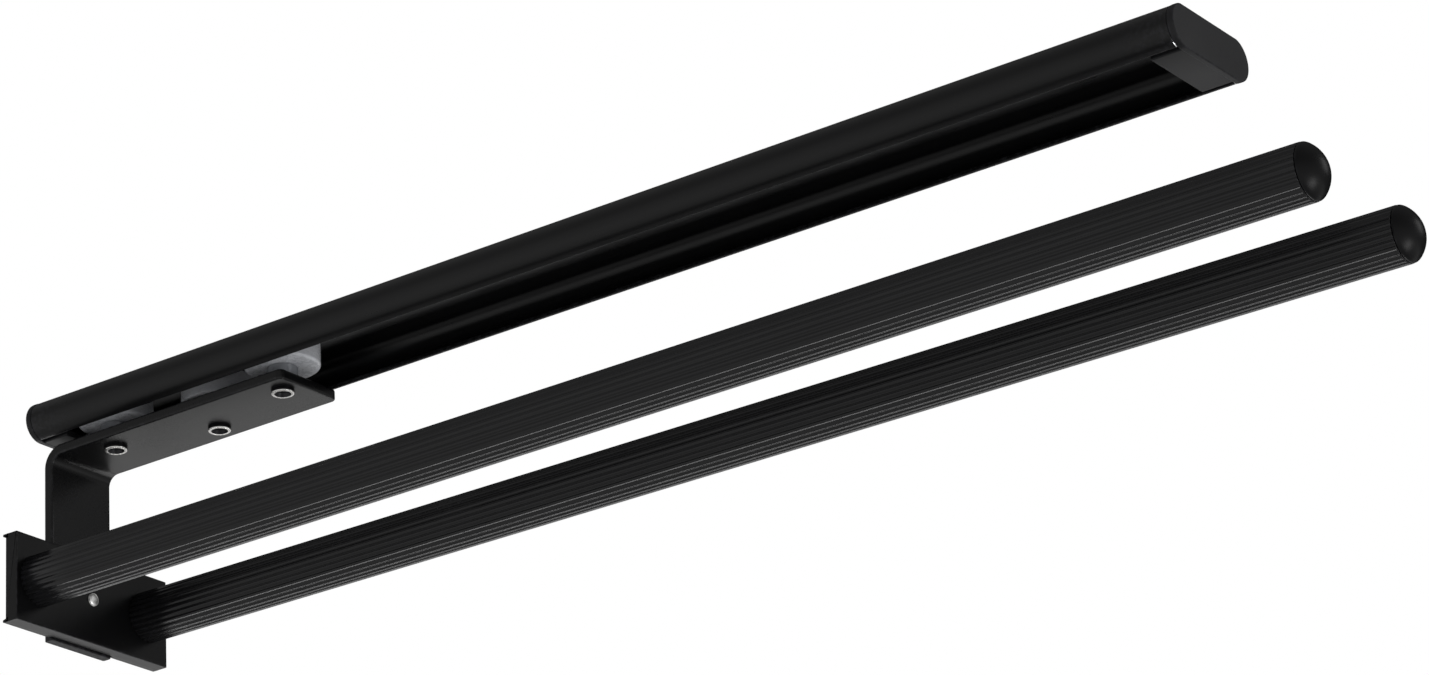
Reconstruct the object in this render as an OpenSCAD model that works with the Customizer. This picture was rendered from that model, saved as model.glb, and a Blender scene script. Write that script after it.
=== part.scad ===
// Pull-out towel rail with two arms, screwed up under a shelf or worktop.
// Origin: centre of the rail's flat top face. +X is the way the arms pull out, +Z is up.
// It is drawn closed, with the carriage at the rear end of its travel.

/* [Rail] */
// Length of the rail between its end caps
rail_len = 405.2; // [380:0.2:500]
// Width of the rail over its rounded sides
rail_w = 39.4; // [38.4:0.2:41]
// Height of the rail
rail_h = 12.6; // [12.6:0.1:13.6]
// Wall of the rail's sides and lips
rail_wall = 1.4; // [1.2:0.1:1.5]
// Thickness of the rail's top web
web_t = 2; // [1.8:0.1:2.2]
// Width of the slot between the lips
slot_w = 29.6; // [29:0.1:30]

/* [Fixing holes] */
// Number of screw holes along the rail
hole_count = 3; // [2:1:4]
// Distance from one screw hole to the next
hole_pitch = 120; // [80:5:120]
// Diameter of a screw hole
hole_d = 4.2; // [3.6:0.1:4.6]
// Diameter of a countersink at the inner face of the web
sink_d = 6.8; // [6:0.1:7.4]

/* [End caps] */
// Thickness of the flange outside the rail
flange_t = 2; // [1:0.1:2.4]
// How far the flange stands out beyond the rail's outline
flange_lip = 0.1; // [0.1:0.1:0.5]
// Length of the stop tongue, flange included
tongue_len = 11.3; // [9:0.1:12]
// Width of the stop tongue in the slot
tongue_w = 26.6; // [24:0.2:28]

/* [Bracket] */
// Width of the bent strip
strip_w = 26; // [25:0.5:27]
// Thickness of the bent strip
strip_t = 3.2; // [3:0.1:3.4]
// Length of the leg under the rail
leg_len = 95.8; // [94:0.2:104]
// Height of the leg that hangs down
drop = 62.6; // [58:0.2:70]
// Inner radius of the bend
bend_r = 3.6; // [3:0.1:4.4]
// Gap between the rail and the bracket
slot_gap = 1.8; // [1.4:0.1:2.2]

/* [Rollers] */
// Diameter of a roller
roller_d = 23; // [22.4:0.1:23]
// Thickness of a roller
roller_t = 8; // [7.6:0.1:8]
// Distance from one roller to the next along the rail
roller_pitch = 33.6; // [31:0.2:34]
// How far a roller's axle stands off the middle line
stagger = 4.8; // [4.6:0.1:4.8]

/* [Arm plate] */
// Width of the plate
plate_w = 66; // [64:0.5:70]
// Height of the plate
plate_h = 28; // [26:0.5:30]
// Thickness of the plate
plate_t = 4.6; // [4.4:0.1:5]
// How far the plate's lips stand out behind it
plate_lip = 1.1; // [0.8:0.1:1.4]

/* [Arms] */
// Diameter of an arm over its ribs
arm_d = 16; // [15:0.5:17]
// Length of an arm's tube
arm_len = 436; // [300:1:500]
// Distance between the two arms' middles
arm_pitch = 47.6; // [44:0.2:49]
// Number of ribs round an arm
rib_count = 28; // [24:1:30]
// Height of the dome on an arm's end
dome_h = 4.5; // [4:0.1:7]

/* [Hidden] */

$fn = 64;
eps = 0.01;          // overshoot of a cutting tool
fit = 0.05;          // radial clearance of a shaft in its hole
slack = 0.1;         // play of a moulded plug in its tube or channel

// Rail
side_r = rail_h / 2;                       // the rail's sides are half rounds
bore_r = side_r - rail_wall;               // inside of the half rounds
side_y = rail_w / 2 - side_r;              // middle of a half round
rail_end = rail_len / 2;
cap_end = rail_end + flange_t;

// Bracket
leg_top = -rail_h - slot_gap;
leg_bottom = leg_top - strip_t;
plate_x = -cap_end + 9.2;                  // the plate's front face
strip_x = plate_x - plate_t;               // front face of the hanging leg
strip_back = strip_x - strip_t;
leg_front = strip_back + leg_len;
drop_end = leg_top - drop;
corner_r = 2.2;                            // corners of the strip's ends

// Rollers
rear_x = -cap_end + tongue_len + 0.8 + roller_d / 2;
roller_z = -web_t - 0.5 - roller_t;        // underside of a roller
edge_r = 0.8;                              // rounding of a roller's edges
shank_d = 5;                               // rivet shank
sleeve_d = 7;                              // bush inside the roller
collar_d = 9.4;                            // bush under the roller
head_d = 9;                                // rivet's formed head above the roller
head_t = 0.9;
head_gap = 0.2;                            // axial play of a roller
ring_d = 7;                                // rivet's rolled end below the bracket
ring_t = 1.3;
ring_bore = 5.2;
pocket_d = head_d + 1;
pocket_t = 1.4;                            // recess in a roller for the rivet's head

// Arms
arm_z = -62.2;
arm_y = arm_pitch / 2;
tube_bore = arm_d - 2.6;
rib_depth = 0.32;
rib_angle = 360 / rib_count;
collar_len = 0.6;                          // straight part of an arm's end cap
plug_len = 20;
screw_d = 5;
screw_head_d = 9.2;
screw_head_t = 2.5;
socket_d = 3.4;
arm_end = plate_x + arm_len;

// Plate screw
plate_screw_d = 4;
tip_out = 0.9;                             // how far its tip shows in front of the plate
pan_d = 8;
pan_t = 2.2;

// Outline of the rail: flat top and bottom, half-round sides; shrunk by inset.
module channel_outline(inset) {
    r = side_r - inset;
    for (s = [-1, 1])
        translate([s * side_y, -side_r])
            circle(r = r);
    translate([-side_y, -side_r - r])
        square([2 * side_y, 2 * r]);
}

// Carries an outline drawn in Y and Z along X, from x0 for len.
module along_x(x0, len) {
    translate([x0, 0, 0])
        rotate([90, 0, 90])
            linear_extrude(height = len)
                children();
}

// A round bar along X, from x0 for len.
module bar_x(x0, len, d) {
    translate([x0, 0, 0])
        rotate([0, 90, 0])
            cylinder(h = len, d = d);
}

// Inside of the rail, flat under its web.
module bore_outline(play) {
    intersection() {
        channel_outline(rail_wall + play);
        translate([-rail_w, -rail_h])
            square([2 * rail_w, rail_h - web_t - play]);
    }
}

// Extruded aluminium channel with countersunk screw holes in its web.
module rail() {
    color([0.11, 0.11, 0.12])
        difference() {
            along_x(-rail_end, rail_len)
                difference() {
                    channel_outline(0);
                    bore_outline(0);
                    translate([-slot_w / 2, -rail_h - 1])
                        square([slot_w, rail_h / 2]);
                }
            for (i = [0 : hole_count - 1])
                translate([(i - (hole_count - 1) / 2) * hole_pitch, 0, 0]) {
                    translate([0, 0, -web_t - eps])
                        cylinder(h = web_t + 2 * eps, d = hole_d);
                    translate([0, 0, -web_t - eps])
                        cylinder(h = (sink_d - hole_d) / 2, d1 = sink_d, d2 = hole_d);
                }
        }
}

// Moulded end cap: flange outside, plug in the channel, stop tongue in the slot.
module end_cap() {
    along_x(rail_end, flange_t)
        intersection() {
            channel_outline(-flange_lip);
            translate([-rail_w, -2 * rail_h])
                square([2 * rail_w, 2 * rail_h]);
        }
    along_x(cap_end - tongue_len, tongue_len - flange_t + eps)
        difference() {
            bore_outline(slack);
            translate([-slot_w / 2, -web_t - 5])
                square([slot_w, 3]);
        }
    along_x(cap_end - tongue_len, tongue_len - flange_t + eps)
        translate([-tongue_w / 2, -rail_h])
            square([tongue_w, rail_h / 2]);
}

module front_end_cap() {
    color([0.2, 0.2, 0.21]) end_cap();
}

module rear_end_cap() {
    color([0.2, 0.2, 0.21]) mirror([1, 0, 0]) end_cap();
}

// Where the rollers' axles stand: i is 0 at the rear, 1 in the middle, 2 in front.
function axle(i) = [rear_x + i * roller_pitch, i == 1 ? stagger : -stagger, 0];

// Steel strip bent square: a leg under the rail, a leg hanging down to the plate.
module bracket() {
    outer_r = bend_r + strip_t;
    color([0.13, 0.13, 0.135])
        difference() {
            union() {
                // leg under the rail, with rounded front corners
                translate([strip_back + outer_r, -strip_w / 2, leg_bottom])
                    cube([leg_len - outer_r - corner_r, strip_w, strip_t]);
                translate([leg_front - corner_r - eps, -strip_w / 2 + corner_r, leg_bottom])
                    cube([corner_r + eps, strip_w - 2 * corner_r, strip_t]);
                for (s = [-1, 1])
                    translate([leg_front - corner_r, s * (strip_w / 2 - corner_r), leg_bottom])
                        cylinder(h = strip_t, r = corner_r);
                // hanging leg
                translate([strip_back, -strip_w / 2, drop_end])
                    cube([strip_t, strip_w, drop - outer_r]);
                // quarter-round bend
                translate([strip_back + outer_r, strip_w / 2, leg_top - outer_r])
                    rotate([90, 0, 0])
                        intersection() {
                            difference() {
                                cylinder(h = strip_w, r = outer_r);
                                translate([0, 0, -1])
                                    cylinder(h = strip_w + 2, r = bend_r);
                            }
                            translate([-outer_r, 0, 0])
                                cube([outer_r, outer_r, strip_w]);
                        }
            }
            for (i = [0 : 2])
                translate(axle(i) + [0, 0, leg_bottom - 1])
                    cylinder(h = strip_t + 2, d = shank_d + 2 * fit);
            translate([0, 0, arm_z])
                bar_x(strip_back - 1, strip_t + 2, plate_screw_d + 2 * fit);
        }
}

// Extruded plate with a lip along its top and bottom; the lips stop either side of the strip.
module arm_plate() {
    color([0.13, 0.13, 0.135])
        difference() {
            union() {
                translate([strip_x, -plate_w / 2, arm_z - plate_h / 2])
                    cube([plate_t, plate_w, plate_h]);
                for (s = [-1, 1])
                    translate([strip_x, 0, arm_z])
                        mirror([0, 0, s < 0 ? 1 : 0])
                            lip_bars();
            }
            translate([0, 0, arm_z])
                bar_x(strip_x - 1, plate_t + 2, plate_screw_d + 2 * fit);
            for (s = [-1, 1])
                translate([0, s * arm_y, arm_z]) {
                    bar_x(strip_x - 1, plate_t + 2, screw_d + 2 * fit);
                    translate([strip_x - eps, 0, 0])
                        rotate([0, 90, 0])
                            cylinder(h = screw_head_t + eps, d1 = screw_head_d + 0.4, d2 = screw_d + 0.4);
                }
        }
}

// Top lip of the plate, in two lengths with a gap for the strip.
module lip_bars() {
    lip_t = 1.2;
    lip_gap = strip_w + 0.4;
    lip_len = (plate_w - lip_gap) / 2;
    for (s = [-1, 1])
        translate([0, s * (plate_w / 2 - lip_len / 2), 0])
            rotate([90, 0, 0])
                translate([0, 0, -lip_len / 2])
                    linear_extrude(height = lip_len)
                        polygon([
                            [eps, plate_h / 2],
                            [-plate_lip, plate_h / 2 - 0.2],
                            [-plate_lip, plate_h / 2 - 0.7],
                            [eps, plate_h / 2 - lip_t]
                        ]);
}

// Roller: thick disc with rounded edges, a plain bore and a recess for the rivet's head.
module roller(i) {
    translate(axle(i) + [0, 0, roller_z])
        difference() {
            rotate_extrude() {
                square([roller_d / 2 - edge_r, roller_t]);
                translate([0, edge_r])
                    square([roller_d / 2, roller_t - 2 * edge_r]);
                for (z = [edge_r, roller_t - edge_r])
                    translate([roller_d / 2 - edge_r, z])
                        circle(r = edge_r);
            }
            translate([0, 0, -1])
                cylinder(h = roller_t + 2, d = sleeve_d + 2 * fit);
            translate([0, 0, roller_t - pocket_t])
                cylinder(h = pocket_t + 1, d = pocket_d);
        }
}

module roller_rear() {
    color([0.78, 0.78, 0.76]) roller(0);
}

module roller_middle() {
    color([0.78, 0.78, 0.76]) roller(1);
}

module roller_front() {
    color([0.78, 0.78, 0.76]) roller(2);
}

// Shouldered bush: a collar that spaces the roller off the bracket, a sleeve it turns on.
module bush(i) {
    top = roller_z + roller_t - pocket_t + head_gap;
    collar_top = roller_z - slack;
    color([0.6, 0.6, 0.6])
        translate(axle(i))
            difference() {
                union() {
                    translate([0, 0, leg_top])
                        cylinder(h = collar_top - leg_top, d = collar_d);
                    translate([0, 0, leg_top])
                        cylinder(h = top - leg_top, d = sleeve_d);
                }
                translate([0, 0, leg_top - 1])
                    cylinder(h = top - leg_top + 2, d = shank_d + 2 * fit);
            }
}

module bush_rear() bush(0);

module bush_middle() bush(1);

module bush_front() bush(2);

// Hollow rivet: formed head above the roller, rolled ring below the bracket.
module rivet(i) {
    head_z = roller_z + roller_t - pocket_t + head_gap;
    color([0.85, 0.85, 0.86])
        translate(axle(i))
            difference() {
                union() {
                    translate([0, 0, leg_bottom - ring_t])
                        cylinder(h = head_z + head_t - leg_bottom + ring_t, d = shank_d);
                    translate([0, 0, head_z])
                        cylinder(h = head_t, d = head_d);
                    translate([0, 0, leg_bottom - ring_t])
                        cylinder(h = ring_t, d = ring_d);
                }
                translate([0, 0, leg_bottom - ring_t - eps])
                    cylinder(h = 1, d1 = ring_bore, d2 = shank_d - 1.4);
                translate([0, 0, leg_bottom - ring_t - eps])
                    cylinder(h = strip_t + ring_t, d = shank_d - 1.4);
            }
}

module rivet_rear() rivet(0);

module rivet_middle() rivet(1);

module rivet_front() rivet(2);

// Screw that holds the plate to the strip: pan head behind, tip just through the plate.
module plate_screw() {
    color([0.85, 0.85, 0.86])
        translate([0, 0, arm_z])
            difference() {
                union() {
                    bar_x(strip_back - eps, strip_t + plate_t + tip_out, plate_screw_d);
                    bar_x(strip_back - pan_t, pan_t, pan_d);
                }
                translate([strip_back - pan_t - eps, 0, 0])
                    rotate([0, 90, 0])
                        cylinder(h = 1.3, d = 2.9, $fn = 6);
            }
}

// Ribbed aluminium tube: shallow round grooves leave the ribs between them.
module arm(s) {
    groove_r = arm_d / 2 * sin(rib_angle / 2) * 0.78;
    color([0.2, 0.2, 0.21])
        translate([0, s * arm_y, arm_z])
            along_x(plate_x, arm_len)
                difference() {
                    circle(d = arm_d);
                    circle(d = tube_bore);
                    for (k = [0 : rib_count - 1])
                        rotate(k * rib_angle)
                            translate([arm_d / 2 + groove_r - rib_depth, 0])
                                circle(r = groove_r, $fn = 24);
                }
}

module arm_near() arm(-1);

module arm_far() arm(1);

// Domed end cap with a plug that pushes into the tube.
module arm_cap(s) {
    dome_r = (pow(arm_d / 2, 2) + pow(dome_h, 2)) / (2 * dome_h);
    insert_len = 12;
    color([0.16, 0.16, 0.165])
        translate([arm_end, s * arm_y, arm_z]) {
            bar_x(-insert_len, insert_len + eps, tube_bore - 2 * slack);
            bar_x(0, collar_len, arm_d);
            intersection() {
                translate([collar_len + dome_h - dome_r, 0, 0])
                    sphere(r = dome_r);
                bar_x(collar_len - eps, 2 * dome_h, arm_d);
            }
        }
}

module arm_cap_near() arm_cap(-1);

module arm_cap_far() arm_cap(1);

// Threaded insert in the root of an arm.
module arm_plug(s) {
    color([0.55, 0.55, 0.56])
        translate([0, s * arm_y, arm_z])
            difference() {
                bar_x(plate_x, plug_len, tube_bore - 2 * fit);
                bar_x(plate_x - 1, plug_len + 2, screw_d + 2 * fit);
            }
}

module arm_plug_near() arm_plug(-1);

module arm_plug_far() arm_plug(1);

// Countersunk screw through the plate into an arm's insert.
module arm_screw(s) {
    color([0.3, 0.3, 0.31])
        translate([0, s * arm_y, arm_z])
            difference() {
                union() {
                    bar_x(strip_x, plate_t + plug_len - 4, screw_d);
                    translate([strip_x, 0, 0])
                        rotate([0, 90, 0])
                            cylinder(h = screw_head_t, d1 = screw_head_d, d2 = screw_d);
                }
                translate([strip_x - eps, 0, 0])
                    rotate([0, 90, 0])
                        cylinder(h = 1.8, d = socket_d, $fn = 6);
            }
}

module arm_screw_near() arm_screw(-1);

module arm_screw_far() arm_screw(1);

rail();
front_end_cap();
rear_end_cap();
bracket();
arm_plate();
plate_screw();
roller_rear();
roller_middle();
roller_front();
bush_rear();
bush_middle();
bush_front();
rivet_rear();
rivet_middle();
rivet_front();
arm_near();
arm_far();
arm_cap_near();
arm_cap_far();
arm_plug_near();
arm_plug_far();
arm_screw_near();
arm_screw_far();
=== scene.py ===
import math

import bmesh
import bpy
import numpy as np
from mathutils import Matrix, Vector


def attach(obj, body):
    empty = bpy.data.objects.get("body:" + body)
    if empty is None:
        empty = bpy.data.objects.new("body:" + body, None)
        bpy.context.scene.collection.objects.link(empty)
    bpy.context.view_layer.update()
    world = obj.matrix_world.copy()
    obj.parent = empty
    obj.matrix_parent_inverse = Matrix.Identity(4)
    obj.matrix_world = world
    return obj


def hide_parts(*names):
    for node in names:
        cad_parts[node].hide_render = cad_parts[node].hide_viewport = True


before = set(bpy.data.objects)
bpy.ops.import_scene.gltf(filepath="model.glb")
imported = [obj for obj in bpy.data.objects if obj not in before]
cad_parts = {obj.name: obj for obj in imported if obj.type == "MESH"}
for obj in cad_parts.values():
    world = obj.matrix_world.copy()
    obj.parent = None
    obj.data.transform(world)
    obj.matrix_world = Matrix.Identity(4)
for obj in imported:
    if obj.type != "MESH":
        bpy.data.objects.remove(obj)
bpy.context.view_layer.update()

# ---------------------------------------------------------------- Rail
# The fixed rail is one aluminium extrusion, a flat web between two half-round sides that
# curl in to lips. It is cut to length, drilled and countersunk for three wood screws, and
# anodised black. The carriage's rollers run in it.
MM = 0.001
RAIL_LEN, RAIL_W, RAIL_H = 405.2, 39.4, 12.6
RAIL_WALL, WEB, SLOT_W = 1.4, 2.0, 29.6
LIP_EASE = 0.35                      # easing of the lips' cut edges
BURR = 0.25                          # chamfer where the sawn ends were deburred
BARE_H = 1.0                         # height of a lip's bare corner
HOLES_X, HOLE_R, SINK_R = (-120.0, 0.0, 120.0), 2.1, 3.4
HOLD = 0.3                           # a flat's last row of points stands this far from its edge
BLOCK, OPENING = 6, 4                # cells from a drilled hole's middle to undisturbed ones, to its border
line = np.arange(-BLOCK, BLOCK + 1.0)


def arc(centre, radius, start, stop, steps):
    """Points on a circle: centre + radius x (cosine, sine), from one angle to another in degrees."""
    a = np.radians(np.linspace(start, stop, steps))
    return np.stack([centre[0] + radius * np.cos(a), centre[1] + radius * np.sin(a)], 1)


def skin(points, ring=False, fill=True, keep=None):
    """Faces over a grid of points. Each point joins the next in its row and in its column; a
    row closes on itself, the rows close too when ring is set, and otherwise the first and
    last rows are filled. keep leaves cells out."""
    rows, cols = points.shape[:2]
    number = np.arange(rows * cols).reshape(rows, cols)
    if ring:
        number = np.vstack([number, number[:1]])
    near, far = number[:-1], number[1:]
    quads = np.stack([near, np.roll(near, -1, 1), np.roll(far, -1, 1), far], -1)
    quads = quads.reshape(-1, 4) if keep is None else quads[keep]
    ends = [number[0][::-1], number[-1]] if fill and not ring else []
    return points.reshape(-1, 3), quads, ends


def drill(points, keep, row, columns, middle, along, across, steps):
    """Opens a round hole through two facing flats of a grid and returns the skin of its wall.
    A square block of cells is left out of each flat. The block's border moves onto a circle,
    middle + radius x (cosine x along + sine x across), and the row of points round it half
    way there. The wall joins circles of the radius and place that steps gives."""
    step = np.arange(-BLOCK, BLOCK + 1)
    du, dv = np.meshgrid(step, step, indexing="ij")
    ring, angle = np.maximum(abs(du), abs(dv)), np.arctan2(dv, du)
    pull = np.clip((BLOCK - ring) / (BLOCK - OPENING), 0, 1)[..., None]

    def circle(turn, radius, place):
        return (np.asarray(middle) + np.asarray(place)
                + radius * (np.cos(turn)[..., None] * along + np.sin(turn)[..., None] * across))

    for (column, way), (radius, place) in zip(columns, (steps[0], steps[-1])):
        patch = np.ix_(row + step, column + way * step)
        points[patch] = points[patch] * (1 - pull) + circle(angle, radius, place) * pull
        keep[row - OPENING:row + OPENING, column - OPENING:column + OPENING] = False
    border = np.sort(angle[ring == OPENING])
    return skin(np.stack([circle(border, r, p) for r, p in steps]), fill=False)


def make_piece(name, skins, material, crease=40.0):
    """One mesh from skins measured in millimetres. Points closer than a tenth of a micron
    become one, faces are turned outwards, and the attribute edge says how sharply the surface
    bends at each point: the largest (change of normal . step) / step squared along its edges,
    from 0 at a radius of 2 mm or more to 1 at 0.4 mm."""
    start = np.cumsum([0] + [len(s[0]) for s in skins])
    place = np.concatenate([s[0] for s in skins]) * MM
    faces = [f for s, first in zip(skins, start)
             for f in (s[1] + first).tolist() + [(e + first).tolist() for e in s[2]]]
    _, kept, same = np.unique(np.round(place * 1e7).astype(np.int64), axis=0,
                              return_index=True, return_inverse=True)
    same = same.ravel()
    mesh = bpy.data.meshes.new(name)
    mesh.from_pydata(place[kept].tolist(), [], [same[f].tolist() for f in faces])
    mesh.validate()
    shell = bmesh.new()
    shell.from_mesh(mesh)
    bmesh.ops.recalc_face_normals(shell, faces=shell.faces)
    shell.to_mesh(mesh)
    shell.free()
    mesh.polygons.foreach_set("use_smooth", np.ones(len(mesh.polygons), bool))
    mesh.set_sharp_from_angle(angle=math.radians(crease))
    count = len(mesh.vertices)
    at, normal = np.empty(count * 3, np.float32), np.empty(count * 3, np.float32)
    ends = np.empty(len(mesh.edges) * 2, np.int32)
    mesh.vertices.foreach_get("co", at)
    mesh.vertex_normals.foreach_get("vector", normal)
    mesh.edges.foreach_get("vertices", ends)
    at, normal, ends = at.reshape(-1, 3), normal.reshape(-1, 3), ends.reshape(-1, 2)
    way = at[ends[:, 1]] - at[ends[:, 0]]
    turn = normal[ends[:, 1]] - normal[ends[:, 0]]
    bend = (turn * way).sum(1) / np.maximum((way * way).sum(1), 1e-14)
    sharp = np.zeros(count, np.float32)
    np.maximum.at(sharp, ends[:, 0], bend)
    np.maximum.at(sharp, ends[:, 1], bend)
    edge = mesh.attributes.new("edge", "FLOAT", "POINT")
    edge.data.foreach_set("value", np.clip((sharp * MM - 0.5) / 2.0, 0, 1))
    mesh.materials.append(material)
    piece = bpy.data.objects.new(name, mesh)
    bpy.context.scene.collection.objects.link(piece)
    return piece


def second_finish(piece, material, chosen):
    """Gives another finish to the faces whose middles, in millimetres, pass a test."""
    faces = piece.data.polygons
    middle = np.empty(len(faces) * 3, np.float32)
    faces.foreach_get("center", middle)
    piece.data.materials.append(material)
    faces.foreach_set("material_index", chosen(middle.reshape(-1, 3) / MM).astype(np.int32))


def stand_for(piece, node, body):
    """The piece rides on the body and takes the CAD node's place; the node is hidden."""
    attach(piece, body)
    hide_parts(node)


def linear(code):
    """sRGB hex to linear: each channel c becomes ((c + 0.055) / 1.055) to the power 2.4."""
    c = np.array([int(code[i:i + 2], 16) for i in (1, 3, 5)]) / 255
    return (*np.where(c <= 0.04045, c / 12.92, ((c + 0.055) / 1.055) ** 2.4), 1.0)


def add(tree, kind, inputs=None, **settings):
    """Adds a node: settings are its properties, inputs its sockets' values or links."""
    node = tree.nodes.new(kind)
    for key, value in settings.items():
        setattr(node, key, value)
    for key, value in (inputs or {}).items():
        if isinstance(value, bpy.types.NodeSocket):
            tree.links.new(value, node.inputs[key])
        else:
            node.inputs[key].default_value = value
    return node


def new_material(name):
    """An empty node material, with its tree and the Object coordinates."""
    material = bpy.data.materials.new(name)
    material.use_nodes = True
    tree = material.node_tree
    tree.nodes.clear()
    return material, tree, add(tree, "ShaderNodeTexCoord").outputs["Object"]


def noise(tree, place, grain, detail, rough=0.5):
    """Noise whose features are about grain millimetres across."""
    return add(tree, "ShaderNodeTexNoise", {"Vector": place, "Scale": 1 / (grain * MM), "Detail": detail,
                                            "Roughness": rough}).outputs[0]


def stretched(tree, place, scale):
    """The coordinates with each axis scaled: a small scale draws the pattern out along it."""
    return add(tree, "ShaderNodeMapping", {"Vector": place, "Scale": scale}).outputs[0]


def ramp(tree, value, start, stop, low, high, **settings):
    """Low up to start, high from stop on, and in between by the distance from start."""
    return add(tree, "ShaderNodeMapRange", {"Value": value, "From Min": start, "From Max": stop,
                                            "To Min": low, "To Max": high}, **settings).outputs[0]


def math_of(tree, operation, *values):
    """One step of arithmetic on numbers and sockets."""
    return add(tree, "ShaderNodeMath", dict(enumerate(values)), operation=operation).outputs[0]


def mixed(tree, share, first, second):
    """The first colour where share is 0, the second where it is 1."""
    return add(tree, "ShaderNodeMix", {"Factor": share, 6: first, 7: second}, data_type="RGBA").outputs[2]


def surfaced(material, tree, **sockets):
    """Ends the tree in one principled surface; the sockets are named with _ for a space."""
    shader = add(tree, "ShaderNodeBsdfPrincipled", {k.replace("_", " "): v for k, v in sockets.items()})
    add(tree, "ShaderNodeOutputMaterial", {"Surface": shader.outputs[0]})
    return material


def coated(name, colour, worn, rough, swing, grain, depth, ior, stretch=(1, 1, 1), streak=0.0):
    """A thin even finish over metal or plastic. Noise of the stated grain, in millimetres,
    gives its tooth as bump and as roughness; a cloud 25 mm across moves the roughness where it
    was handled or coated thicker; fine lines along X do too, by streak; the edge attribute
    times noise thins it along edges."""
    lighter = 1.35
    material, tree, place = new_material(name)
    tooth = noise(tree, stretched(tree, place, stretch), grain, 3.0, 0.6)
    patch = noise(tree, place, 25.0, 2.0)
    lines = noise(tree, stretched(tree, place, (0.01, 1, 1)), 0.9, 2.0)
    both = math_of(tree, "MULTIPLY_ADD", tooth, 0.5, math_of(tree, "MULTIPLY", patch, 0.5))
    uneven = math_of(tree, "MULTIPLY_ADD", lines, streak, both)
    gloss = ramp(tree, uneven, 0.3 + streak / 2, 0.7 + streak / 2, rough - swing, rough + swing)
    bent = add(tree, "ShaderNodeAttribute", attribute_name="edge").outputs["Fac"]
    rubbed = ramp(tree, noise(tree, place, 1.5, 4.0), 0.45, 0.75, 0.0, 1.0)
    base = linear(colour)
    thick = mixed(tree, patch, base, tuple(min(1.0, lighter * c) for c in base[:3]) + (1.0,))
    paint = mixed(tree, math_of(tree, "MULTIPLY", bent, rubbed), thick, linear(worn))
    bump = add(tree, "ShaderNodeBump", {"Height": tooth, "Distance": depth * MM, "Strength": 1.0})
    return surfaced(material, tree, Base_Color=paint, Roughness=gloss, Normal=bump.outputs[0], IOR=ior)


def plated(name, light, dark, rough, grain):
    """Bare or thinly plated metal: two close tones in patches a few millimetres across,
    roughness and bump from the sawn, tumbled or rolled surface."""
    material, tree, place = new_material(name)
    metal = mixed(tree, noise(tree, place, 2.5, 4.0), linear(light), linear(dark))
    grit = noise(tree, place, grain, 3.0)
    gloss = ramp(tree, grit, 0.3, 0.7, rough - 0.06, rough + 0.08)
    bump = add(tree, "ShaderNodeBump", {"Height": grit, "Distance": 0.001 * MM}).outputs[0]
    return surfaced(material, tree, Base_Color=metal, Metallic=1.0, Roughness=gloss, Normal=bump)


# black anodised aluminium, satin etched before dyeing: nearly black, with a soft even gloss
# and the extrusion's faint drawing lines
rail_black = coated("black_anodised_rail", "#060607", "#26262a", 0.32, 0.05, 0.35, 0.0015, 1.35,
                    stretch=(0.06, 1, 1), streak=0.5)

# the corners of the lips are bare where they were deburred: bright, with the file's scratches
sawn_bright = plated("bare_sawn_aluminium", "#dcdddf", "#c2c4c7", 0.3, 0.2)

side_r, bore_r = RAIL_H / 2, RAIL_H / 2 - RAIL_WALL
side_y = RAIL_W / 2 - side_r
lip_in = SLOT_W / 2 - side_y
out_lip = math.degrees(math.acos((lip_in + LIP_EASE) / (side_r - LIP_EASE)))
in_lip = math.degrees(math.acos((lip_in + LIP_EASE) / (bore_r + LIP_EASE)))
web_turn = math.degrees(math.asin((side_r - WEB) / bore_r))
middle_r = (side_y, -side_r)


def on_side(radius, turn):
    """A point at a radius and an angle in degrees about the middle of the half-round side."""
    turn = math.radians(turn)
    return side_y + radius * math.cos(turn), -side_r + radius * math.sin(turn)


def rail_side():
    """Right half of the rail's section, from the top flat round the side and the lip to the
    web's underside: outer arc, two easing arcs on the cut lip, inner arc."""
    ease_out, ease_in = on_side(side_r - LIP_EASE, -out_lip), on_side(bore_r + LIP_EASE, -in_lip)
    return np.vstack([
        [(side_y - HOLD, 0)],
        arc(middle_r, side_r, 90, -out_lip, 44),
        arc(ease_out, LIP_EASE, -out_lip, -180, 7)[1:],
        arc(ease_in, LIP_EASE, 180, 180 - in_lip, 7),
        arc(middle_r, bore_r, -in_lip, web_turn, 32)[1:],
        [(on_side(bore_r, web_turn)[0] - HOLD, -WEB)],
    ])


right = rail_side()
section = np.vstack([
    np.stack([line, 0 * line], 1), right,
    np.stack([-line, 0 * line - WEB], 1), (right * (-1, 1))[::-1],
])
tangent = np.roll(section, -1, 0) - np.roll(section, 1, 0)
tangent /= np.linalg.norm(tangent, axis=1, keepdims=True)
stations = np.unique(np.concatenate([
    np.linspace(-RAIL_LEN / 2, RAIL_LEN / 2, 24), *[x + line for x in HOLES_X],
    [BURR - RAIL_LEN / 2, RAIL_LEN / 2 - BURR]]))
rail_grid = np.empty((len(stations), len(section), 3))
rail_grid[..., 0] = stations[:, None]
rail_grid[..., 1:] = section
rail_grid[[0, -1], :, 1:] += BURR * np.stack([tangent[:, 1], -tangent[:, 0]], 1)
rail_keep = np.ones((len(stations) - 1, len(section)), bool)
hole_walls = [drill(rail_grid, rail_keep, int(np.searchsorted(stations, x)),
                    ((BLOCK, 1), (len(line) + len(right) + BLOCK, -1)), (x, 0, 0),
                    np.array((1.0, 0, 0)), np.array((0, 1.0, 0)),
                    [(HOLE_R, (0, 0, 0)), (HOLE_R, (0, 0, SINK_R - HOLE_R - WEB)),
                     (SINK_R, (0, 0, -WEB))]) for x in HOLES_X]
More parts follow.
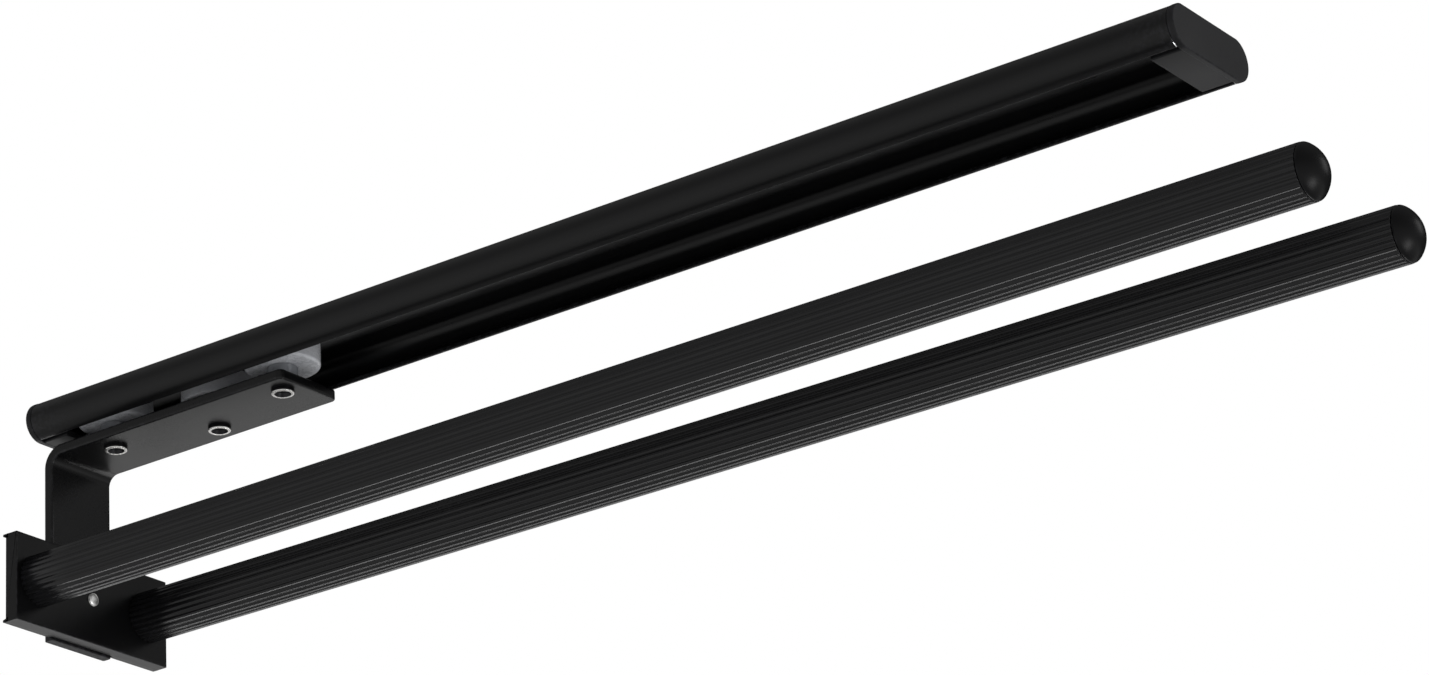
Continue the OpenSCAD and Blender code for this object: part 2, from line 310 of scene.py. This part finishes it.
rail = make_piece("rail_extrusion", [skin(rail_grid, keep=rail_keep), *hole_walls], rail_black)
second_finish(rail, sawn_bright, lambda m: (abs(m[:, 0]) > RAIL_LEN / 2 - BURR)
              & (m[:, 2] < BARE_H - RAIL_H))
stand_for(rail, "rail", "rail_body")

# ---------------------------------------------------------------- End caps
# Two black ABS mouldings close the rail. Each has a flange a little larger than the rail, a
# plug that presses into the channel, and a tongue that fills the slot and stops the carriage.
FLANGE_T, FLANGE_LIP, FLANGE_EDGE = 2.0, 0.1, 0.4
TONGUE_LEN, TONGUE_W, PLUG_PLAY = 11.3, 26.6, 0.1


def rounded(corners, radius, steps=5):
    """A closed outline whose corners are arcs of the stated radius that touch both sides,
    each with one more point on the side, HOLD before and after it."""
    c = np.asarray(corners, float)
    r = np.broadcast_to(np.asarray(radius, float), len(c))[:, None]
    before, after = c - np.roll(c, 1, 0), np.roll(c, -1, 0) - c
    before /= np.linalg.norm(before, axis=1, keepdims=True)
    after /= np.linalg.norm(after, axis=1, keepdims=True)
    turn = np.arctan2(before[:, 0] * after[:, 1] - before[:, 1] * after[:, 0], (before * after).sum(1))
    inward = np.stack([-before[:, 1], before[:, 0]], 1) * np.sign(turn)[:, None]
    back = r * np.tan(abs(turn) / 2)[:, None]
    centre = c - before * back + inward * r
    spoke = -inward * r
    a = turn[:, None] * np.linspace(0, 1, steps + 1)
    x = spoke[:, :1] * np.cos(a) - spoke[:, 1:] * np.sin(a)
    y = spoke[:, :1] * np.sin(a) + spoke[:, 1:] * np.cos(a)
    arcs = centre[:, None] + np.stack([x, y], -1)
    first = (c - before * (back + HOLD))[:, None]
    last = (c + after * (back + HOLD))[:, None]
    return np.concatenate([first, arcs, last], 1).reshape(-1, 2)


AXES = {"X": (2, 0, 1), "Y": (0, 2, 1), "Z": (0, 1, 2)}


def bar(outline, start, stop, edge, along="X", steps=4):
    """An outline carried straight along an axis. Within edge of each end it draws in along its
    own normals on a quarter circle: inset = edge x (1 - sine), distance from the end = edge x
    (1 - cosine). X carries an outline in Y and Z, Y one in X and Z, Z one in X and Y."""
    step = np.roll(outline, -1, 0) - np.roll(outline, 1, 0)
    step /= np.linalg.norm(step, axis=1, keepdims=True)
    area = (outline[:, 0] * np.roll(outline[:, 1], -1) - outline[:, 1] * np.roll(outline[:, 0], -1)).sum()
    inward = np.stack([-step[:, 1], step[:, 0]], 1) * np.sign(area)
    t = np.linspace(0, math.pi / 2, steps + 1)
    inset = np.concatenate([[edge + HOLD], edge * (1 - np.sin(t)), [0]])
    depth = np.concatenate([[0], edge * (1 - np.cos(t)), [edge + HOLD]])
    inset, place = np.concatenate([inset, inset[::-1]]), np.concatenate([start + depth, (stop - depth)[::-1]])
    flat = outline + inward * inset[:, None, None]
    whole = np.concatenate([flat, np.broadcast_to(place[:, None, None], (*flat.shape[:2], 1))], 2)
    return whole[..., AXES[along]]


# black ABS from a lightly sparked mould: a little greyer than the metal, fine dull tooth
cap_black = coated("black_moulded_abs_cap", "#151517", "#2c2c30", 0.5, 0.06, 0.28, 0.003, 1.33)


def end_cap_skins(end):
    """Flange, plug and tongue of the cap at the rail's front (end = 1) or rear (end = -1)."""
    grown = side_r + FLANGE_LIP
    blunt = math.degrees(math.asin(side_r / grown))
    half = np.vstack([[(side_y, 0)], arc(middle_r, grown, blunt, -90, 30)])
    flange = np.vstack([half, (half * (-1, 1))[::-1]])
    plug_r = bore_r - PLUG_PLAY
    bore = np.vstack([arc(middle_r, plug_r, web_turn - 2, -90, 20), [(side_y - 4, -side_r - plug_r)]])
    plug = np.vstack([bore, (bore * (-1, 1))[::-1]])
    half_tongue = TONGUE_W / 2
    tongue = rounded([(-half_tongue, -side_r), (half_tongue, -side_r), (half_tongue, -RAIL_H),
                      (-half_tongue, -RAIL_H)], 0.35)
    rim, back = RAIL_LEN / 2, RAIL_LEN / 2 + FLANGE_T - TONGUE_LEN
    grids = (bar(flange, rim, rim + FLANGE_T, FLANGE_EDGE), bar(plug, back, rim, 0.2),
             bar(tongue, back, rim + 0.4, 0.3))
    return [skin(g * (end, 1, 1)) for g in grids]


front_cap = make_piece("front_end_cap_moulding", end_cap_skins(1), cap_black)
stand_for(front_cap, "front_end_cap", "rail_body")
rear_cap = make_piece("rear_end_cap_moulding", end_cap_skins(-1), cap_black)
stand_for(rear_cap, "rear_end_cap", "rail_body")

# ---------------------------------------------------------------- Bracket
# The carriage's bracket is steel strip, sheared with rounded corners and bent square: one leg
# lies under the rail and carries the rollers, the other hangs down to the arm plate. It is
# dipped in black paint.
STRIP_W, STRIP_T, BEND_R = 26.0, 3.2, 3.6
LEG_TOP, LEG_LEN, DROP = -14.4, 95.8, 62.6
STRIP_BACK, CORNER_R, STRIP_EDGE, STRIP_BURR = -203.2, 2.2, 0.6, 0.25

# electrophoretic paint on steel: even, slightly open satin black that mirrors at a low angle
bracket_black = coated("black_dipped_steel", "#0b0b0c", "#303034", 0.28, 0.04, 0.30, 0.0025, 1.35)


def bent_strip():
    """The strip's section, a rectangle with round edges, carried along its middle line:
    straight back under the rail, a quarter turn, straight down. Towards each end the width
    and the thickness draw in by r - sqrt(r^2 - (r - d)^2), where d is the distance from the
    end and r is the corner's radius in front and a burr's at the foot."""
    turn_r = BEND_R + STRIP_T / 2
    level, hang_x = LEG_TOP - STRIP_T / 2, STRIP_BACK + STRIP_T / 2
    bend_x, bend_z = hang_x + turn_r, level - turn_r
    front, foot = STRIP_BACK + LEG_LEN, LEG_TOP - DROP
    ease = CORNER_R * (1 - np.cos(np.linspace(0, math.pi / 2, 9)))
    fore = np.concatenate([ease, [CORNER_R + HOLD, 20, 40, 60, 80]])
    a = np.radians(np.linspace(90, 180, 17))
    tail = np.concatenate([[45, 30, 15, CORNER_R + HOLD], STRIP_BURR / CORNER_R * ease[::-1]])
    x = np.concatenate([front - fore, bend_x + turn_r * np.cos(a), np.full(len(tail), hang_x)])
    z = np.concatenate([np.full(len(fore), level), bend_z + turn_r * np.sin(a), foot + tail])
    out = np.concatenate([np.tile((0, 1.0), (len(fore), 1)), np.stack([np.cos(a), np.sin(a)], 1),
                          np.tile((-1.0, 0), (len(tail), 1))])

    def draw_in(front_r, foot_r):
        left = [np.clip(r - d, 0, r) for r, d in ((front_r, fore), (foot_r, tail))]
        inset = [r - np.sqrt(r ** 2 - c ** 2) for r, c in zip((front_r, foot_r), left)]
        return np.concatenate([inset[0], np.zeros(len(a)), inset[1]])

    half_w, half_t = STRIP_W / 2, STRIP_T / 2
    ring = rounded([(-half_w, -half_t), (half_w, -half_t), (half_w, half_t), (-half_w, half_t)], STRIP_EDGE)
    wide = ring[:, 0] * (1 - draw_in(CORNER_R, STRIP_BURR) / half_w)[:, None]
    thick = ring[:, 1] * (1 - 0.98 * draw_in(STRIP_EDGE, STRIP_BURR) / half_t)[:, None]
    return np.stack([x[:, None] + out[:, :1] * thick, wide, z[:, None] + out[:, 1:] * thick], -1)


# the sheared foot takes the paint over torn metal: the same black, but rough
sheared_black = coated("black_dipped_sheared_end", "#0b0b0c", "#303034", 0.6, 0.08, 0.5, 0.02, 1.35)
bracket = make_piece("bracket_strip", [skin(bent_strip())], bracket_black)
second_finish(bracket, sheared_black, lambda m: m[:, 2] < LEG_TOP - DROP + STRIP_BURR / 2)
stand_for(bracket, "bracket", "carriage")

# ---------------------------------------------------------------- Rollers, bushes and rivets
# Three turned nylon rollers run in the rail, set to one side and the other so that they take
# up its play. Each turns on a shouldered steel bush, held by a hollow rivet that is rolled
# over below the bracket.
AXLES = {"rear": (-181.0, -4.8), "middle": (-147.4, 4.8), "front": (-113.8, -4.8)}
ROLLER_R, ROLLER_LOW, ROLLER_TOP = 11.5, -10.5, -2.5
SLEEVE_R, COLLAR_R, SHANK_R = 3.5, 4.7, 2.5
POCKET_R, POCKET_LOW = 5.0, -3.9
HEAD_R, HEAD_LOW, HEAD_T = 4.5, -3.7, 0.9
RING_R, RING_T, RING_BORE, SHANK_BORE = 3.5, 1.3, 2.6, 1.8
FIT = 0.05                           # play of a turning part on its shaft
RING_LOW = LEG_TOP - STRIP_T - RING_T


def turned(profile, axle, around=64):
    """A profile of radius and height turned round an upright axle: x = axle + radius x cosine,
    y = axle + radius x sine."""
    a = np.linspace(0, 2 * math.pi, around, endpoint=False)
    r, z = profile[:, 0, None], profile[:, 1, None]
    return np.stack([axle[0] + r * np.cos(a), axle[1] + r * np.sin(a), z + 0 * a], -1)


# natural nylon, turned: milky, lets light in a few tenths of a millimetre, waxy gloss with
# the cutter's fine rings
nylon, tree, place = new_material("natural_nylon_roller")
milk = mixed(tree, noise(tree, place, 4.0, 3.0), linear("#c2c4ca"), linear("#e0e2e6"))
fine = noise(tree, stretched(tree, place, (1, 1, 6)), 1.2, 3.0)
waxy = ramp(tree, fine, 0.3, 0.7, 0.2, 0.36)
rings = add(tree, "ShaderNodeBump", {"Height": fine, "Distance": 0.03 * MM}).outputs[0]
surfaced(nylon, tree, Base_Color=milk, Roughness=waxy, Normal=rings, IOR=1.53, Subsurface_Weight=0.35,
         Subsurface_Radius=(1.0, 1.0, 1.0), Subsurface_Scale=1.2 * MM)

# nickel plate on a steel rivet, burnished by the rolling: bright and a little warm
bright_nickel = plated("bright_nickel_rivet", "#f7f6f3", "#e6e5e2", 0.26, 0.25)
# zinc plate on turned steel, left dull: an even mid grey
zinc_bush = plated("zinc_plated_bush", "#a9abae", "#8b8d92", 0.34, 0.3)
# painted shade: a dark plated finish on the rivet's bore, the side of its rolled ring and all above it stands
# for the shade in the recess and under the ring; only the ring's underside keeps the bright nickel
bore_and_side_painted_shade = plated("rivet_bore_and_side_painted_shade", "#3a3a3c", "#242426", 0.34, 0.25)

roller_ring = rounded([(SLEEVE_R + FIT, ROLLER_LOW), (ROLLER_R, ROLLER_LOW), (ROLLER_R, ROLLER_TOP),
                       (POCKET_R, ROLLER_TOP), (POCKET_R, POCKET_LOW), (SLEEVE_R + FIT, POCKET_LOW)],
                      (0.2, 0.8, 0.8, 0.2, 0.1, 0.1))
bush_ring = rounded([(SHANK_R + FIT, LEG_TOP), (COLLAR_R, LEG_TOP), (COLLAR_R, ROLLER_LOW - 0.1),
                     (SLEEVE_R, ROLLER_LOW - 0.1), (SLEEVE_R, HEAD_LOW), (SHANK_R + FIT, HEAD_LOW)],
                    (0.1, 0.25, 0.25, 0.1, 0.1, 0.1))
rivet_ring = rounded([(SHANK_BORE, RING_LOW + 1.2), (RING_BORE, RING_LOW), (RING_R, RING_LOW),
                      (RING_R, RING_LOW + RING_T), (SHANK_R, RING_LOW + RING_T), (SHANK_R, HEAD_LOW),
                      (HEAD_R, HEAD_LOW), (HEAD_R, HEAD_LOW + HEAD_T), (SHANK_BORE, HEAD_LOW + HEAD_T)],
                     (0.12, 0.14, 0.32, 0.02, 0.02, 0.02, 0.2, 0.4, 0.3), steps=4)
for where, axle in AXLES.items():
    roller = make_piece(f"roller_{where}_nylon", [skin(turned(roller_ring, axle, 96), ring=True)], nylon)
    stand_for(roller, f"roller_{where}", f"roller_{where}_body")
    bush = make_piece(f"bush_{where}_steel", [skin(turned(bush_ring, axle), ring=True)], zinc_bush)
    stand_for(bush, f"bush_{where}", "carriage")
    rivet = make_piece(f"rivet_{where}_hollow", [skin(turned(rivet_ring, axle), ring=True)], bright_nickel)
    # painted shade: faces more than 0.4 mm above the ring's underside, or inside the bore, take the dark
    # finish
    second_finish(rivet, bore_and_side_painted_shade, lambda m: (
        (m[:, 2] > RING_LOW + 0.4)
        | (np.hypot(m[:, 0] - axle[0], m[:, 1] - axle[1]) < RING_BORE - 0.12)))
    stand_for(rivet, f"rivet_{where}", "carriage")

# ---------------------------------------------------------------- Arm plate
# A length of flat aluminium extrusion with a small hooked lip along its top and bottom, which
# grip the strip either side. It is saw-cut, drilled and countersunk from behind, and anodised.
PLATE_X, PLATE_T, PLATE_W, PLATE_H = -195.4, 4.6, 66.0, 28.0
PLATE_Z, PLATE_EDGE, LIP_OUT, LIP_GAP = -62.2, 0.3, 1.1, 26.4
ARM_Y = 23.8
SCREW_HOLE_R, SCREW_SINK_R, SCREW_SINK_T = 2.55, 4.8, 2.5

# black anodised aluminium again, a shade lighter than the rail; it was extruded along Y
plate_black = coated("black_anodised_plate", "#09090a", "#2b2b2f", 0.33, 0.05, 0.35, 0.002, 1.35,
                     stretch=(1, 0.06, 1))


def plate_skins():
    """The plate's section in X and Z, a rectangle with small round edges, carried along Y from
    one sawn end to the other, with two countersunk holes; then four lengths of hooked lip."""
    back, low, high = PLATE_X - PLATE_T, PLATE_Z - PLATE_H / 2, PLATE_Z + PLATE_H / 2
    edge, clear = PLATE_EDGE, PLATE_EDGE + 2 * HOLD
    face = PLATE_Z + line
    under = np.vstack([[(PLATE_X - edge - HOLD, low)], arc((PLATE_X - edge, low + edge), edge, -90, 0, 6),
                       [(PLATE_X, low + clear)]])
    over = np.vstack([[(PLATE_X, high - clear)], arc((PLATE_X - edge, high - edge), edge, 0, 90, 6),
                      [(PLATE_X - clear, high), (back + clear, high)],
                      arc((back + edge, high - edge), edge, 90, 180, 6), [(back, high - clear)]])
    ring = np.vstack([under, np.stack([0 * line + PLATE_X, face], 1), over,
                      np.stack([0 * line + back, face[::-1]], 1), [(back, low + clear)],
                      arc((back + edge, low + edge), edge, 180, 270, 6), [(back + clear, low)]])
    half = PLATE_W / 2
    grid = bar(ring, -half, half, 0.2, "Y")
    cut = len(grid) // 2
    inner = np.unique(np.concatenate([np.linspace(-15, 15, 7), *[s * ARM_Y + line for s in (-1, 1)]]))
    rows = np.broadcast_to(grid[cut], (len(inner), *grid[cut].shape)).copy()
    rows[..., 1] = inner[:, None]
    grid = np.concatenate([grid[:cut], rows, grid[cut:]])
    keep = np.ones((len(grid) - 1, grid.shape[1]), bool)
    columns = ((len(under) + BLOCK, 1), (len(under) + len(line) + len(over) + BLOCK, -1))
    front, rear = np.array((PLATE_X, 0, 0)), np.array((back, 0, 0))
    steps = [(SCREW_HOLE_R, front), (SCREW_HOLE_R, rear + (SCREW_SINK_T, 0, 0)), (SCREW_SINK_R - 0.2, rear)]
    walls = [drill(grid, keep, cut + int(np.searchsorted(inner, s * ARM_Y)), columns,
                   (0, s * ARM_Y, PLATE_Z), np.array((0, 1.0, 0)), np.array((0, 0, 1.0)), steps)
             for s in (-1, 1)]
    lips = []
    for s in (-1, 1):
        rim = PLATE_Z + s * PLATE_H / 2
        hook = rounded([(back + 1.0, rim), (back - LIP_OUT, rim - s * 0.05), (back - LIP_OUT, rim - s * 0.75),
                        (back + 1.0, rim - s * 1.4)], (0.02, 0.15, 0.12, 0.02), steps=4)
        lips += [skin(bar(hook, a, b, 0.06, "Y")) for a, b in ((-half, -LIP_GAP / 2), (LIP_GAP / 2, half))]
    return [skin(grid, keep=keep), *walls, *lips]


plate = make_piece("arm_plate_extrusion", plate_skins(), plate_black)
stand_for(plate, "arm_plate", "carriage")

# ---------------------------------------------------------------- Screws
# A bright zinc-plated screw holds the plate to the strip, its pan head behind and its rounded
# tip just through in front. A black countersunk screw holds each arm. All have hex sockets.
TIP_X, PAN_R, PAN_T, PAN_SOCKET, PLATE_SCREW_R = PLATE_X + 0.9, 4.0, 2.2, 1.45, 2.0
ARM_SCREW_R, ARM_HEAD_R, ARM_SOCKET, ARM_SCREW_LEN = 2.5, 4.6, 1.7, 20.6


def socket_screw(stations, y, z):
    """Rings about a line along X. Each station is (x, radius, hexness): the radius of a circle
    blended with a hexagon's, apothem / cosine of the angle from its nearest flat."""
    a = np.linspace(0, 2 * math.pi, 72, endpoint=False)
    from_flat = (a % (math.pi / 3)) - math.pi / 6
    x, radius, hexed = np.array(stations, float).T[..., None]
    r = radius * (1 - hexed + hexed / np.cos(from_flat))
    return np.stack([x + 0 * a, y + r * np.cos(a), z + r * np.sin(a)], -1)


# bright zinc on steel: nearly white, with a soft shine
zinc_screw = plated("zinc_plated_screw", "#f4f4f2", "#e2e2e0", 0.4, 0.2)
# oiled black oxide on steel: dark and low in sheen, grey where the edges are rubbed
black_oxide = coated("black_oxide_screw", "#101012", "#4a4a4e", 0.38, 0.08, 0.2, 0.002, 1.5)

back_x = PLATE_X - PLATE_T
pan_x = STRIP_BACK - PAN_T
plate_screw = make_piece("plate_screw_zinc", [skin(socket_screw([
    (pan_x + 1.2, 0.1, 1), (pan_x + 1.2, PAN_SOCKET, 1), (pan_x + 0.15, PAN_SOCKET, 1),
    (pan_x, PAN_SOCKET + 0.25, 0.3), (pan_x, PAN_R - 1.2, 0), (pan_x + 0.12, PAN_R - 0.7, 0),
    (pan_x + 0.5, PAN_R - 0.2, 0), (pan_x + 1.0, PAN_R, 0), (STRIP_BACK - 0.2, PAN_R, 0),
    (STRIP_BACK, PAN_R - 0.15, 0), (STRIP_BACK, PLATE_SCREW_R, 0), (PLATE_X + 0.1, PLATE_SCREW_R, 0),
    (PLATE_X + 0.3, PLATE_SCREW_R - 0.2, 0), (PLATE_X + 0.5, PLATE_SCREW_R, 0),
    (TIP_X - 0.55, PLATE_SCREW_R, 0), (TIP_X - 0.35, PLATE_SCREW_R - 0.2, 0),
    (TIP_X - 0.15, PLATE_SCREW_R - 0.6, 0), (TIP_X - 0.04, PLATE_SCREW_R - 1.1, 0), (TIP_X, 0.1, 0),
], 0, PLATE_Z))], zinc_screw)
stand_for(plate_screw, "plate_screw", "carriage")
for side, s in (("near", -1), ("far", 1)):
    arm_screw = make_piece(f"arm_screw_{side}_countersunk", [skin(socket_screw([
        (back_x + 1.9, 0.1, 1), (back_x + 1.8, ARM_SOCKET, 1), (back_x + 0.2, ARM_SOCKET, 1),
        (back_x + 0.05, ARM_SOCKET + 0.25, 0.3), (back_x + 0.05, ARM_HEAD_R - 0.25, 0),
        (back_x + 0.2, ARM_HEAD_R - 0.1, 0), (back_x + 0.4, ARM_HEAD_R - 0.2, 0),
        (back_x + SCREW_SINK_T, ARM_SCREW_R, 0), (back_x + ARM_SCREW_LEN - 0.6, ARM_SCREW_R, 0),
        (back_x + ARM_SCREW_LEN, ARM_SCREW_R - 0.6, 0),
    ], s * ARM_Y, PLATE_Z))], black_oxide)
    stand_for(arm_screw, f"arm_screw_{side}", "carriage")

# ---------------------------------------------------------------- Arms
# The two towel arms are round aluminium tube with 28 fine ribs along it, extruded and anodised
# black. Each is closed by a domed cap of matt plastic. Held by one screw at its root, each arm
# leans a fraction of a degree.
ARM_R, ARM_BORE, ARM_LEN = 8.0, 6.7, 436.0
RIBS, RIB_DEPTH, GROOVE_POWER = 28, 0.32, 1.3
COLLAR_LEN, DOME_H, CAP_PLUG_R, CAP_PLUG_LEN, SEAM = 0.6, 4.5, 6.6, 12.0, 0.3
LEAN = {"near": (0.08, 0.0), "far": (0.21, 0.35)}     # degrees down and outwards
ARM_END = PLATE_X + ARM_LEN

# extruded 6063 tube, etched and black anodised: satin, with long drawing lines
arm_black = coated("black_anodised_tube", "#131314", "#1c1c20", 0.21, 0.015, 0.3, 0.0002, 1.36,
                   stretch=(0.03, 1, 1), streak=0.6)
# polyethylene cap, matt mould: smooth deep black with a wide soft shine
dome_black = coated("black_matt_cap", "#050506", "#1c1c20", 0.34, 0.03, 0.3, 0.001, 1.27)


def lean(points, side):
    """Moves each point down and outwards in proportion to its distance from the plate."""
    down, out = np.tan(np.radians(LEAN[side]))
    away = points[..., :1] - PLATE_X
    sense = -1 if side == "near" else 1
    return points + away * np.array((0, sense * out, -down))


def ribbed_tube(side, s):
    """Outer ring: radius = ARM_R less RIB_DEPTH x ((1 + cosine of RIBS times the angle) / 2) to
    the power GROOVE_POWER, which leaves wide round ribs between narrow grooves; inner
    ring: the bore. Rows run out along the outside and back along the bore."""
    a = np.linspace(0, 2 * math.pi, RIBS * 20, endpoint=False)
    outer = ARM_R - RIB_DEPTH * ((1 + np.cos(RIBS * a)) / 2) ** GROOVE_POWER
    x = [PLATE_X, PLATE_X + 0.2, *np.linspace(PLATE_X + 20, ARM_END - 20, 9),
         ARM_END - 0.4, ARM_END - 0.12, ARM_END]
    trim = np.array([0.2] + [0.0] * (len(x) - 3) + [0.04, 0.16])
    rings = np.concatenate([outer - trim[:, None], np.full((2, len(a)), ARM_BORE)])
    x = np.array(x + [ARM_END, PLATE_X])[:, None]
    grid = np.stack([x + 0 * a, s * ARM_Y + rings * np.cos(a), PLATE_Z + rings * np.sin(a)], -1)
    return lean(grid, side)


def domed_cap(side, s):
    """Plug, collar and dome, turned about the arm's middle line. The dome is a slice of a
    sphere: radius^2 = ARM_R^2 + DOME_H^2 over 2 DOME_H; its meeting with the collar is
    rounded."""
    dome_r = (ARM_R ** 2 + DOME_H ** 2) / (2 * DOME_H)
    open_turn = math.degrees(math.asin(ARM_R / dome_r))
    middle = ARM_END + COLLAR_LEN + DOME_H - dome_r
    t = np.radians(np.linspace(open_turn - 6, 0.6, 26))
    dome = np.stack([middle + dome_r * np.cos(t), dome_r * np.sin(t)], 1)
    corner = np.array((ARM_END + COLLAR_LEN, ARM_R))
    k = np.linspace(0, 1, 7)[:, None]
    first = np.array((ARM_END + SEAM, ARM_R - 0.2))
    shoulder = (1 - k) ** 2 * first + 2 * k * (1 - k) * corner + k ** 2 * dome[0]
    rows = np.vstack([
        [(ARM_END - CAP_PLUG_LEN, 0.1), (ARM_END - CAP_PLUG_LEN, CAP_PLUG_R - 0.4),
         (ARM_END - CAP_PLUG_LEN + 0.4, CAP_PLUG_R),
         (ARM_END + SEAM, CAP_PLUG_R), (ARM_END + SEAM, ARM_R - 0.6)], shoulder, dome[1:]])
    a = np.linspace(0, 2 * math.pi, 96, endpoint=False)
    x, r = rows[:, :1], rows[:, 1:]
    return lean(np.stack([x + 0 * a, s * ARM_Y + r * np.cos(a), PLATE_Z + r * np.sin(a)], -1), side)


# extruded aluminium insert, as drawn: pale, hidden in the arm's root
mill_aluminium = plated("mill_aluminium_insert", "#c9cacc", "#b3b5b8", 0.38, 0.3)
for side, s in (("near", -1), ("far", 1)):
    arm = make_piece(f"arm_{side}_tube", [skin(ribbed_tube(side, s), ring=True)], arm_black, crease=50.0)
    stand_for(arm, f"arm_{side}", "carriage")
    cap = make_piece(f"arm_cap_{side}_dome", [skin(domed_cap(side, s))], dome_black)
    stand_for(cap, f"arm_cap_{side}", "carriage")
    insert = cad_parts[f"arm_plug_{side}"].data
    insert.materials.clear()
    insert.materials.append(mill_aluminium)

# ---------------------------------------------------------------- Floor, light and camera
# A pale matt floor well below the part, lit from under like a light table except where the
# undersides mirror it, and dim white walls. Four soft boxes: a narrow one below and behind that
# picks out the ribs, a dim wide one low behind, one low in front, one behind on the right.
FLOOR_Z, FLOOR_HALF = -2.6, 12.0
DARK_MIDDLE, DARK_R, BRIGHT_R, GLOW_MIDDLE, GLOW_FAR = (-1.5, 3.5, 0), 3.0, 7.5, 0.05, 0.5
WALL_LOW, WALL_HIGH, WALL_TOP = 0.6, 0.3, 0.55
REARWARD, REAR_FROM, WALL_BEHIND = (-0.3, 0.954, 0), -0.2, 0.05
CAM_AT, CAM_AZIMUTH, CAM_ELEVATION, CAM_ROLL = (0.7261, -0.9883, -0.5349), 35.086, -22.223, -3.306
CAM_LENS, CAM_SHIFT = 117.42, (0.0170, 0.0014)

# matt white paper: no gloss, and fibres that only just change its tone
paper, tree, place = new_material("pale_paper_floor")
shade = mixed(tree, noise(tree, place, 3.0, 4.0), linear("#e9e9e8"), linear("#f0f0ef"))
away = add(tree, "ShaderNodeVectorMath", {0: place, 1: DARK_MIDDLE}, operation="DISTANCE").outputs["Value"]
glow = ramp(tree, away, DARK_R, BRIGHT_R, GLOW_MIDDLE, GLOW_FAR, interpolation_type="SMOOTHSTEP")
surfaced(paper, tree, Base_Color=shade, Roughness=0.8, Emission_Color=(1, 1, 1, 1), Emission_Strength=glow)
mesh = bpy.data.meshes.new("floor")
mesh.from_pydata([(x * FLOOR_HALF, y * FLOOR_HALF, FLOOR_Z)
                  for x, y in ((-1, -1), (1, -1), (1, 1), (-1, 1))], [], [(0, 1, 2, 3)])
mesh.materials.append(paper)
floor = bpy.data.objects.new("floor", mesh)
bpy.context.scene.collection.objects.link(floor)

scene = bpy.context.scene
scene.view_settings.view_transform = "Standard"
world = bpy.data.worlds.new("light_tent")
world.use_nodes = True
world.node_tree.nodes.clear()
walls = world.node_tree
way = add(walls, "ShaderNodeTexCoord").outputs["Generated"]
height = add(walls, "ShaderNodeSeparateXYZ", {0: way}).outputs["Z"]
fade = ramp(walls, height, 0.0, WALL_TOP, WALL_LOW, WALL_HIGH, interpolation_type="SMOOTHSTEP")
rearward = add(walls, "ShaderNodeVectorMath", {0: way, 1: REARWARD}, operation="DOT_PRODUCT").outputs["Value"]
dim = ramp(walls, rearward, REAR_FROM, 1.0, 1.0, WALL_BEHIND, interpolation_type="SMOOTHSTEP")
wall = math_of(walls, "MULTIPLY", fade, dim)
lit = add(walls, "ShaderNodeBackground", {"Color": (1, 1, 1, 1), "Strength": wall}).outputs[0]
sheet = add(walls, "ShaderNodeBackground", {"Color": (1, 1, 1, 1), "Strength": 1.0}).outputs[0]
seen = add(walls, "ShaderNodeMixShader", {0: add(walls, "ShaderNodeLightPath").outputs["Is Camera Ray"],
                                          1: lit, 2: sheet}).outputs[0]
add(walls, "ShaderNodeOutputWorld", {"Surface": seen})
scene.world = world


def soft_box(name, at, aim, width, height, radiance):
    """A rectangle of white light that faces a point: power = pi x area x radiance."""
    lamp = bpy.data.lights.new(name, "AREA")
    lamp.shape, lamp.size, lamp.size_y = "RECTANGLE", width, height
    lamp.energy = math.pi * width * height * radiance
    box = bpy.data.objects.new(name, lamp)
    box.location = at
    box.rotation_mode = "QUATERNION"
    box.rotation_quaternion = (Vector(aim) - Vector(at)).to_track_quat("-Z", "Y")
    box.visible_camera = False
    scene.collection.objects.link(box)


soft_box("box_below", (-0.62, 0.63, -0.824), (-0.62, 0.0, -0.06), 1.3, 0.26, 3.8)
soft_box("box_low", (-0.62, 0.93, -0.4), (-0.62, 0.0, -0.06), 1.3, 0.5, 0.25)
soft_box("box_front", (1.5, 0.15, -0.87), (0.24, 0.0, -0.06), 0.55, 0.55, 5.0)
soft_box("box_behind", (0.7, 0.56, 0.274), (0.2, 0.0, -0.01), 0.3, 0.3, 1.4)


def turned_axes(azimuth, elevation, roll):
    """Right, up and back of a camera: back = (sin a cos e, -cos a cos e, sin e), right is level,
    then both are rolled about back."""
    a, e, r = np.radians((azimuth, elevation, roll))
    back = np.array((math.sin(a) * math.cos(e), -math.cos(a) * math.cos(e), math.sin(e)))
    level = np.cross((0, 0, 1), back)
    level /= np.linalg.norm(level)
    upright = np.cross(back, level)
    right = math.cos(r) * level + math.sin(r) * upright
    return right, np.cross(back, right), back


right, up, back = turned_axes(CAM_AZIMUTH, CAM_ELEVATION, CAM_ROLL)
lens = bpy.data.cameras.new("camera")
lens.lens, lens.sensor_width, lens.sensor_fit = CAM_LENS, 36.0, "HORIZONTAL"
lens.shift_x, lens.shift_y = CAM_SHIFT
lens.clip_start, lens.clip_end = 0.05, 50.0
camera = bpy.data.objects.new("camera", lens)
scene.collection.objects.link(camera)
turned_to = np.stack([right, up, back], 1)
camera.matrix_world = Matrix([[*map(float, row), at] for row, at in zip(turned_to, CAM_AT)] + [[0, 0, 0, 1]])
scene.camera = camera
